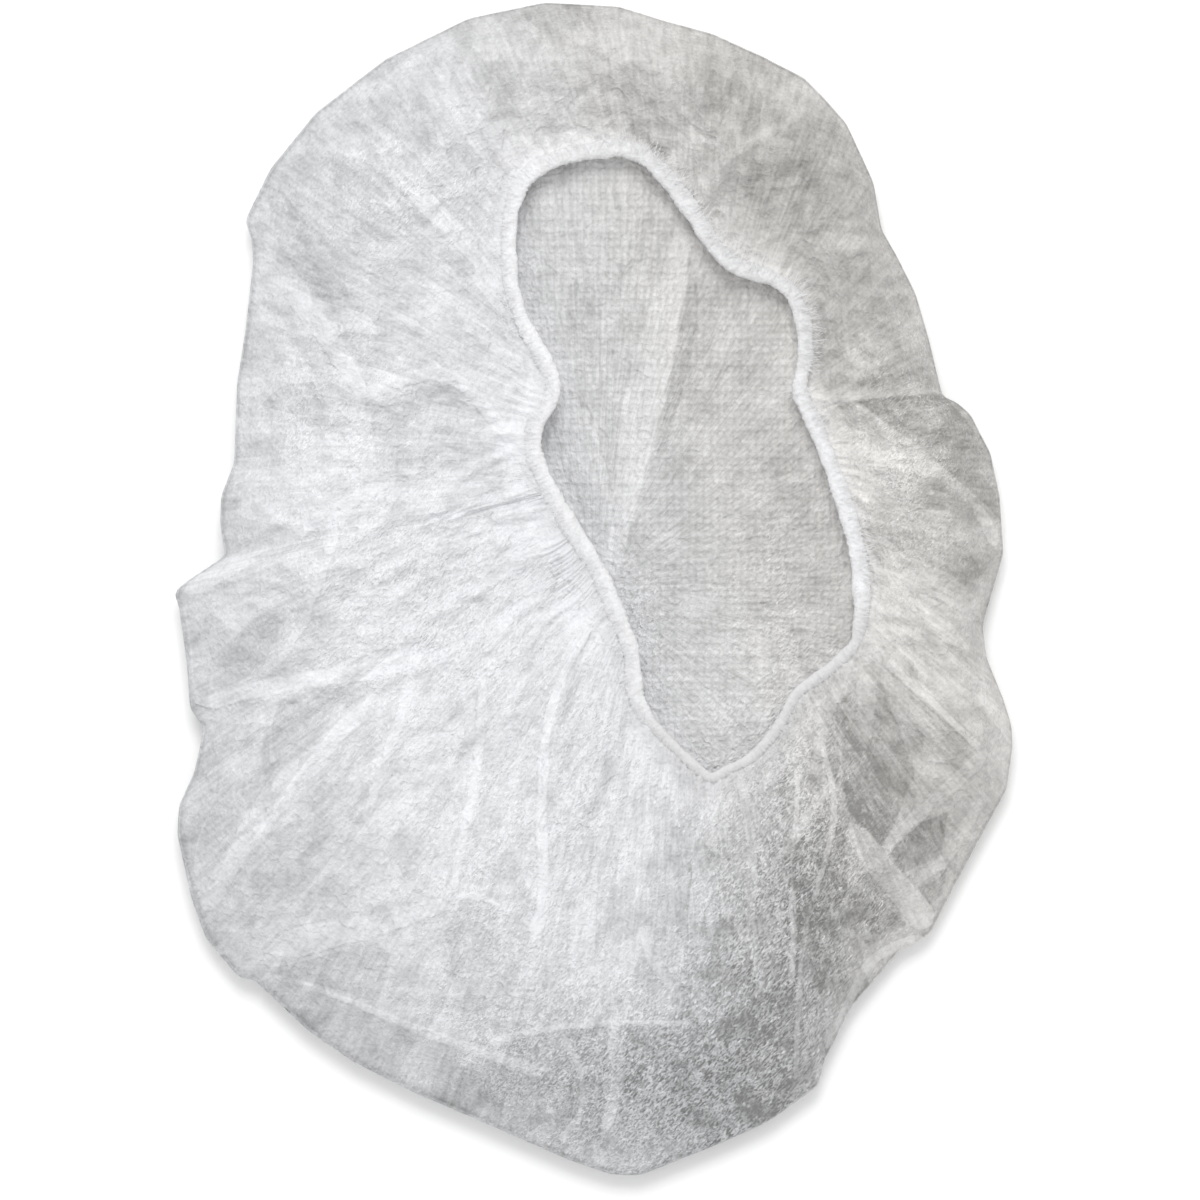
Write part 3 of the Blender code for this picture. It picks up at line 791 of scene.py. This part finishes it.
def ruched_tube(line, wide, high):
    """A closed tube: ellipse sections across the line, whose radius swells and shrinks with the ruches
    (1 - |sin|, wandering) and twists with them, so the ridges cross the roll at a slant. Where it
    sinks into the cloth it is thinner."""
    count = len(line)
    turn = 2 * np.pi * np.arange(count)[:, None] / count
    angle = 2 * np.pi * np.arange(HEM_AROUND)[None, :] / HEM_AROUND
    wander = 3.1 * np.sin(5 * turn) + 2.3 * np.sin(11 * turn + 1) + 1.7 * np.sin(23 * turn + 2)
    ruche = 1 - np.abs(np.sin(RUCHES * turn + wander + 1.5 * np.sin(angle + 9 * turn)))
    small = 1 - np.abs(np.sin(SMALL_RUCHES * turn - wander * 1.7 + 1.9 * np.sin(2 * angle + 17 * turn)))
    uneven = 1 + 0.12 * np.sin(14 * turn + 0.5) * np.sin(31 * turn) + 0.07 * np.sin(3 * turn + 2)
    reach = uneven * (0.92 + 0.10 * ruche + 0.09 * small) * (1 - 0.35 * hidden_share(line))[:, None]
    out = wide / 2 * reach * np.cos(angle)
    up = high / 2 * reach * np.sin(angle)
    plan = line[:, None, :] + sideways(line)[:, None, :] * out[..., None]
    return np.dstack((plan, hem_heights(line)[:, None] + up))


def tufts(line, wide, high):
    """Slivers of cloth and fibre that run from over the roll out onto the ring, which is how the hem
    melts into the cloth: strips with pointed ends, each leaning a little its own way. The last few
    hang into the opening where the elastic's ends are joined."""
    here = rng.integers(0, len(line), TUFTS)
    joint = np.argmin(np.linalg.norm(line - on_plan(JOINT_PX), axis=1))
    here[-JOINT_TUFTS:] = joint + rng.integers(-7, 8, JOINT_TUFTS)
    side, heights = sideways(line)[here], hem_heights(line)[here]
    lengthways = np.column_stack((-side[:, 1], side[:, 0]))
    along = lengthways * rng.normal(0, 0.45, TUFTS)[:, None]
    start = rng.uniform(-0.45, 0.25, TUFTS) * wide
    reach = rng.uniform(0.6, 1.5, TUFTS) * wide
    reach[-JOINT_TUFTS:] = rng.uniform(-1.3, -0.8, JOINT_TUFTS) * wide
    strips = []
    for step, half in ((0, 0.0), (0.3, 1.0), (0.65, 0.8), (1, 0.0)):
        out = start + (reach - start) * step
        arch = np.sqrt(np.clip(1 - (2 * out / wide) ** 2, 0, 1)) * high / 2
        over = np.where(out > 0, OVER_ROLL * (1 - smooth_step(out / MM, 1, 9)) + 0.35 * MM, 0)
        up = np.maximum(arch + 0.1 * MM, over)
        centre = line[here] + side * out[:, None] + along * (out - start)[:, None]
        width = half * (0.03 + 0.05 * rng.random(TUFTS)) * MM
        across = lengthways * width[:, None]
        for edge in (centre - across, centre + across):
            strips.append(np.column_stack((edge, heights + up)))
    return np.stack(strips, axis=1)


tube = ruched_tube(band_line, HEM_WIDE, HEM_HIGH)
slivers = tufts(band_line, HEM_WIDE, HEM_HIGH)
first = tube.size // 3 + 8 * np.arange(TUFTS)[:, None, None]
strip_faces = first + np.array(((0, 1, 3, 2), (2, 3, 5, 4), (4, 5, 7, 6)))
hem_faces = ring_faces(*tube.shape[:2], closed=True).tolist() + strip_faces.reshape(-1, 4).tolist()
hem_points = np.vstack((tube.reshape(-1, 3), slivers.reshape(-1, 3)))
elastic_hem = add_mesh("elastic_hem", hem_points, hem_faces)
set_value(elastic_hem, "greyer", dimmed_share(hem_points))
print("elastic_hem z", np.round(tube[..., 2].min() / MM, 1), "to", np.round(tube[..., 2].max() / MM, 1))

# %% [markdown]
# ## Spunbond
#
# Spunbond is a web of fine threads, pressed together at a grid of points and thin enough to see
# through. A photograph of it could be wrapped round the cap, but it would blur close up and repeat, so
# every pattern is worked out by shader nodes.

# %% Material helpers
def node(tree, kind, inputs=(), **settings):
    """A shader node with its settings, and its inputs set to numbers or joined to sockets."""
    made = tree.nodes.new("ShaderNode" + kind)
    for name, value in settings.items():
        setattr(made, name, value)
    for name, value in dict(inputs).items():
        if isinstance(value, bpy.types.NodeSocket):
            tree.links.new(value, made.inputs[name])
        else:
            made.inputs[name].default_value = value
    return made


def new_material(name):
    """A material with its node tree and its shader, and the object's coordinates."""
    material = bpy.data.materials.new(name)
    material.use_nodes = True
    tree = material.node_tree
    return material, tree, tree.nodes["Principled BSDF"], node(tree, "TexCoord").outputs["Object"]


def attribute(tree, name, output="Fac"):
    """What the mesh's points hold under a name."""
    return node(tree, "Attribute", attribute_name=name).outputs[output]


def maths(tree, operation, first, second, clamp=False):
    """One Math node's result."""
    return node(tree, "Math", {0: first, 1: second}, operation=operation, use_clamp=clamp).outputs[0]


def times(tree, first, second):
    """A product."""
    return maths(tree, "MULTIPLY", first, second)


def added(tree, *terms):
    """A sum, one Math node after another."""
    total = terms[0]
    for term in terms[1:]:
        total = maths(tree, "ADD", total, term)
    return total


def mixed(tree, share, first, second, blend="MIX"):
    """Two colours mixed by a share, or blended another way."""
    inputs = {"Factor": share, "A": first, "B": second}
    return node(tree, "Mix", inputs, data_type="RGBA", blend_type=blend).outputs["Result"]


def stretched(tree, vector, turn, scale):
    """A vector turned about Z and then scaled, each axis by its own number."""
    turned = node(tree, "Mapping", {"Vector": vector, "Rotation": (0, 0, np.radians(turn))})
    return node(tree, "Mapping", {"Vector": turned.outputs[0], "Scale": scale}).outputs[0]


def noise(tree, vector, scale, detail, roughness=0.5):
    """Noise from nought to one."""
    inputs = {"Vector": vector, "Scale": scale, "Detail": detail, "Roughness": roughness}
    return node(tree, "TexNoise", inputs, noise_dimensions="3D").outputs["Fac"]


def span(tree, value, low, high, to_low=0.0, to_high=1.0):
    """Maps low to high onto new ends, and holds there."""
    inputs = {"Value": value, "From Min": low, "From Max": high, "To Min": to_low, "To Max": to_high}
    return node(tree, "MapRange", inputs, clamp=True).outputs["Result"]


def swing(tree, value, amount):
    """Noise as a swing: its usual range, 0.3 to 0.7, becomes minus to plus an amount."""
    return span(tree, value, 0.3, 0.7, -amount, amount)


def bump_by(tree, shader, height):
    """Tilts a shader's normal by a height in metres."""
    bump = node(tree, "Bump", {"Height": height, "Strength": 1.0, "Distance": 1.0})
    tree.links.new(bump.outputs[0], shader.inputs["Normal"])


# %% [markdown]
# These patterns make the cloth: rows and pressed points for the web, cells of one tone each for
# crumpled film, and lines where noise crosses its middle for crinkles, whose glints are painted into
# the tone. The edges of bands and facets are cut where the distance on the points is nought.

# %% Pattern helpers
# The bonds' pitch along a row, and the pitch at which rows come out denser
BOND_PITCH, ROW_PITCH = 2.2 * MM, 3.9 * MM


def row_map(tree, flat):
    """Rows of denser web across the cloth, a sine from minus one to one."""
    up = node(tree, "SeparateXYZ", {"Vector": flat}).outputs["Y"]
    return maths(tree, "SINE", times(tree, up, 2 * np.pi / ROW_PITCH), 0)


def bond_map(tree, flat):
    """Pressed points in rows: one near the middle of each cell of a nearly regular grid."""
    squeezed = stretched(tree, flat, 0, (1, 2 * BOND_PITCH / ROW_PITCH, 1))
    inputs = {"Vector": squeezed, "Scale": 1 / BOND_PITCH, "Randomness": 0.42}
    cells = node(tree, "TexVoronoi", inputs, voronoi_dimensions="2D", feature="F1")
    return span(tree, cells.outputs["Distance"], 0.15, 0.55, 1.0, 0.0)


def facet_map(tree, place, size, warped):
    """Crumpled film: cells of about the given size, warped by a share of it, and each with its own
    tone from nought to one, so that the tone steps at their edges."""
    warp = node(tree, "TexNoise", {"Vector": place, "Scale": 0.6 / size, "Detail": 1.0})
    push = node(tree, "VectorMath", {0: warp.outputs["Color"], "Scale": warped * size}, operation="SCALE")
    moved = node(tree, "VectorMath", {0: place, 1: push.outputs[0]}, operation="ADD")
    cells = node(tree, "TexVoronoi", {"Vector": moved.outputs[0], "Scale": 1 / size}, feature="F1")
    return node(tree, "SeparateColor", {"Color": cells.outputs["Color"]}).outputs[0]


def wrinkle_map(tree, place, size):
    """Sharp lines where noise n of the given size crosses its middle: 1 - |n - 0.5| / 0.13, and never
    below nought."""
    value = noise(tree, place, 1 / size, 2, 0.55)
    off = maths(tree, "ABSOLUTE", maths(tree, "SUBTRACT", value, 0.5), 0)
    return span(tree, off, 0.0, 0.13, 1.0, 0.0)


def shape_edge(tree, name, soft, wander):
    """One inside a band or facet and nought outside it, over a soft width about its wandering edge."""
    return span(tree, added(tree, attribute(tree, name + "_edge"), wander), -soft, soft)


# %% [markdown]
# The cloth's tone starts from its layers, which hold painted light and shade too. Clouds are where the
# web came out thicker, grain is its threads, facets are crumpled film, streaks run with the gathers, and
# the bonds and rows show most on the crown, which lies smooth. Where the cap glitters, crinkles and
# sparks whiten its tone as painted highlights, make it glossier and stand up in the bump. They come and
# go with the clouds, and doubled bands have fewer. The wrinkles' lines whiten most where it glitters,
# which is painted highlight too.

# %% Nonwoven
GRAIN_SIZE, CRINKLE_SIZE, WRINKLE_SIZE = 1.0 * MM, 1.3 * MM, 5.5 * MM
FILM_SIZE, CLOUD_SIZE, FOLD_SIZE = 4.5 * MM, 10 * MM, 11 * MM
# How often the sparks of painted glint and the streaks come to the metre, along each axis
SPARKS, STREAKS = (500, 1100, 900), (640, 640, 110)
# Degrees by which the crinkles slant
CRINKLE_TURN = -50


def glint_map(tree, place, clouds, glint_and_crinkle):
    """Crinkles and the sparks between them, as painted glints, as strong as the glint and crinkle strength
    and the clouds thick.
    """
    crinkle_glints = wrinkle_map(tree, stretched(tree, place, CRINKLE_TURN, (0.5, 1.6, 1)), CRINKLE_SIZE)
    sparks = noise(tree, stretched(tree, place, CRINKLE_TURN, SPARKS), 1, 2, 0.6)
    both = added(tree, crinkle_glints, times(tree, span(tree, sparks, 0.57, 0.66), 1.3))
    return times(tree, both, times(tree, glint_and_crinkle, span(tree, clouds, 0.3, 0.7, 0.25, 1.75)))


def crumpled_tone(tree, gathered, bonded, glint_and_crinkle):
    """Tone of the facets, in two sizes, longer along the gathers. The large ones show most on the ring,
    and both show less where the cloth has no glint and crinkle strength at all, because there it lies calm."""
    folds = facet_map(tree, stretched(tree, gathered, 0, (1, 1, 0.42)), FOLD_SIZE, 0.7)
    film = facet_map(tree, stretched(tree, gathered, 0, (1, 1, 0.55)), FILM_SIZE, 1.6)
    large = times(tree, span(tree, folds, 0, 1, -0.09, 0.09), span(tree, bonded, 0.4, 0.9, 1.0, 0.25))
    tone = added(tree, large, span(tree, film, 0, 1, -0.06, 0.06))
    return times(tree, tone, span(tree, glint_and_crinkle, 0.0, 0.15, 0.3, 1.0))


def nonwoven_material(name, grey, white, cool, warm):
    """Point-bonded spunbond whose tone runs from grey to white with the layers and the painted light and
    shade on its points, and which painted glints whiten further.
    """
    material, tree, shader, place = new_material(name)
    flat = node(tree, "UVMap", uv_map="flat").outputs[0]
    gathered = attribute(tree, "gathered", "Vector")
    layers_and_shade, bonded, glint_and_crinkle, warmth = (
        attribute(tree, value) for value in ("layers_and_shade", "bonded", "glint_and_crinkle", "warmth")
    )

    grain = noise(tree, place, 1 / GRAIN_SIZE, 1, 0.7)
    wrinkles = wrinkle_map(tree, place, WRINKLE_SIZE)
    bonds = times(tree, bond_map(tree, flat), bonded)
    clouds = noise(tree, flat, 1 / CLOUD_SIZE, 2, 0.6)
    streaks = noise(tree, stretched(tree, gathered, 0, STREAKS), 1, 1)
    wander = swing(tree, clouds, 0.3 * MM)
    band = shape_edge(tree, "band", 0.18 * MM, wander)
    facet = shape_edge(tree, "facet", 0.3 * MM, wander)
    # Painted glints, which whiten the tone below as painted highlights, fewer on doubled bands
    glints = times(tree, glint_map(tree, place, clouds, glint_and_crinkle), span(tree, band, 0, 1, 1.0, 0.4))

    # The tone adds the points' painted light and shade, and wrinkle lines whitened as painted highlight
    tone = added(
        tree, layers_and_shade, swing(tree, clouds, 0.08), swing(tree, grain, 0.07),
        crumpled_tone(tree, gathered, bonded, glint_and_crinkle), swing(tree, streaks, 0.08),
        times(tree, wrinkles, times(tree, glint_and_crinkle, 0.07)), times(tree, bonds, 0.13),
        times(tree, row_map(tree, flat), times(tree, bonded, 0.035)),
        times(tree, band, attribute(tree, "band_tone")), times(tree, facet, attribute(tree, "facet_tone")),
    )
    # Painted highlights: the glints whiten the tone
    tone = maths(tree, "ADD", tone, times(tree, glints, 0.33), clamp=True)
    cloth = mixed(tree, tone, (*grey, 1), (*white, 1))
    tint = mixed(tree, warmth, (*cool, 1), (*warm, 1))
    tree.links.new(mixed(tree, 1.0, cloth, tint, "MULTIPLY"), shader.inputs["Base Color"])
    tree.links.new(span(tree, glints, 0, 1, 0.62, 0.30), shader.inputs["Roughness"])
    shader.inputs["Specular IOR Level"].default_value = 0.45

    height = added(
        tree, times(tree, grain, times(tree, added(tree, glint_and_crinkle, 0.8), 0.25 * MM)),
        times(tree, wrinkles, 0.24 * MM), times(tree, glints, 0.14 * MM),
        times(tree, shape_edge(tree, "band", 0.4 * MM, 0), 0.18 * MM),
    )
    bump_by(tree, shader, maths(tree, "SUBTRACT", height, times(tree, bonds, 0.10 * MM)))
    return material


GREY_CLOTH = (0.22, 0.22, 0.215)
WHITE_CLOTH = (0.78, 0.78, 0.78)
COOL_TINT, WARM_TINT = (0.965, 0.975, 1.0), (1.0, 0.98, 0.955)
nonwoven = nonwoven_material("nonwoven", GREY_CLOTH, WHITE_CLOTH, COOL_TINT, WARM_TINT)
cap_cloth.data.materials.append(nonwoven)
print("nonwoven", len(nonwoven.node_tree.nodes), "nodes")

# %% [markdown]
# The hem is the same cloth, but so much of it is bunched up that no light comes through. So it needs
# no layers or bonds, only a nearly white matt skin, with fibres and clumps in its tone and its bump.

# %% Ruched hem
FIBRE_SIZE, CLUMP_SIZE = 0.8 * MM, 3.5 * MM


def hem_material(name, shade, light):
    """Fibres and clumps between two near whites, greyer where the points say so."""
    material, tree, shader, place = new_material(name)
    fibres = noise(tree, place, 1 / FIBRE_SIZE, 2, 0.6)
    clumps = noise(tree, place, 1 / CLUMP_SIZE, 2, 0.6)
    tone = added(tree, span(tree, fibres, 0.3, 0.7, 0.0, 0.5), span(tree, clumps, 0.3, 0.7, 0.0, 0.5))
    tone = maths(tree, "SUBTRACT", tone, times(tree, attribute(tree, "greyer"), 0.9))
    tree.links.new(mixed(tree, tone, (*shade, 1), (*light, 1)), shader.inputs["Base Color"])
    bump_by(tree, shader, added(tree, times(tree, fibres, 0.30 * MM), times(tree, clumps, 0.6 * MM)))
    shader.inputs["Roughness"].default_value = 0.8
    shader.inputs["Specular IOR Level"].default_value = 0.3
    return material


HEM_SHADE, HEM_LIGHT = (0.64, 0.64, 0.645), (0.82, 0.825, 0.84)
ruched_hem = hem_material("ruched_hem", HEM_SHADE, HEM_LIGHT)
elastic_hem.data.materials.append(ruched_hem)
print("ruched_hem", len(ruched_hem.node_tree.nodes), "nodes")

# %% [markdown]
# ## What each piece stands for
#
# The cloth has no wall of its own: its 0.2 mm can't be seen, and its one edge is tucked in behind the
# roll. Every piece rides on the cap's one body, and the solids that they stand for are hidden.

# %% Pieces
for piece, finish_slot in ((cap_cloth, "nonwoven"), (elastic_hem, "elastic_hem")):
    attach(piece, "root")
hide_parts("cap_body")
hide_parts("elastic_band")

# %% [markdown]
# ## Floor, light and camera
#
# The photograph is taken straight down on pure white, and its only shadow lies below the lower edge.
# A wide white floor, a white sky and one big lamp beyond the top of the picture do the same.

# %% Studio
def area_lamp(name, place, size, watts, towards):
    """A square lamp at a place, facing a point."""
    data = bpy.data.lights.new(name, "AREA")
    data.size, data.energy = size, watts
    lamp = bpy.data.objects.new(name, data)
    bpy.context.scene.collection.objects.link(lamp)
    lamp.location = place
    direction = np.array(towards) - np.array(place)
    flat_run = np.hypot(direction[0], direction[1])
    tilt, heading = np.arctan2(flat_run, -direction[2]), np.arctan2(direction[1], direction[0])
    lamp.rotation_euler = (tilt, 0, heading - np.pi / 2)
    return lamp


FLOOR_HALF = 3
floor_corners = [(x * FLOOR_HALF, y * FLOOR_HALF, 0) for x, y in ((-1, -1), (1, -1), (1, 1), (-1, 1))]
floor = add_mesh("floor", floor_corners, [(0, 1, 2, 3)])
paper = bpy.data.materials.new("white_paper")
paper.use_nodes = True
paper_shader = paper.node_tree.nodes["Principled BSDF"]
paper_shader.inputs["Base Color"].default_value = (0.95, 0.95, 0.95, 1)
paper_shader.inputs["Roughness"].default_value = 0.9
floor.data.materials.append(paper)

area_lamp("window", place=(-0.05, 0.85, 1.2), size=0.7, watts=10.5, towards=(0, 0, 0))
scene = bpy.context.scene
scene.world = bpy.data.worlds.new("white_sky")
scene.world.use_nodes = True
sky = scene.world.node_tree.nodes["Background"]
sky.inputs["Color"].default_value = (1, 1, 1, 1)
sky.inputs["Strength"].default_value = 0.88
scene.view_settings.view_transform = "Standard"

FRAME_PX = 1200
CAMERA_HEIGHT = 1.5
camera_data = bpy.data.cameras.new("camera")
camera_data.sensor_width = 36
camera_data.lens = camera_data.sensor_width * CAMERA_HEIGHT / (FRAME_PX * PIXEL)
camera = bpy.data.objects.new("camera", camera_data)
scene.collection.objects.link(camera)
camera.location = (*on_plan((FRAME_PX / 2, FRAME_PX / 2)), CAMERA_HEIGHT + CAP_HIGH[2] * RIM_SHARE)
scene.camera = camera
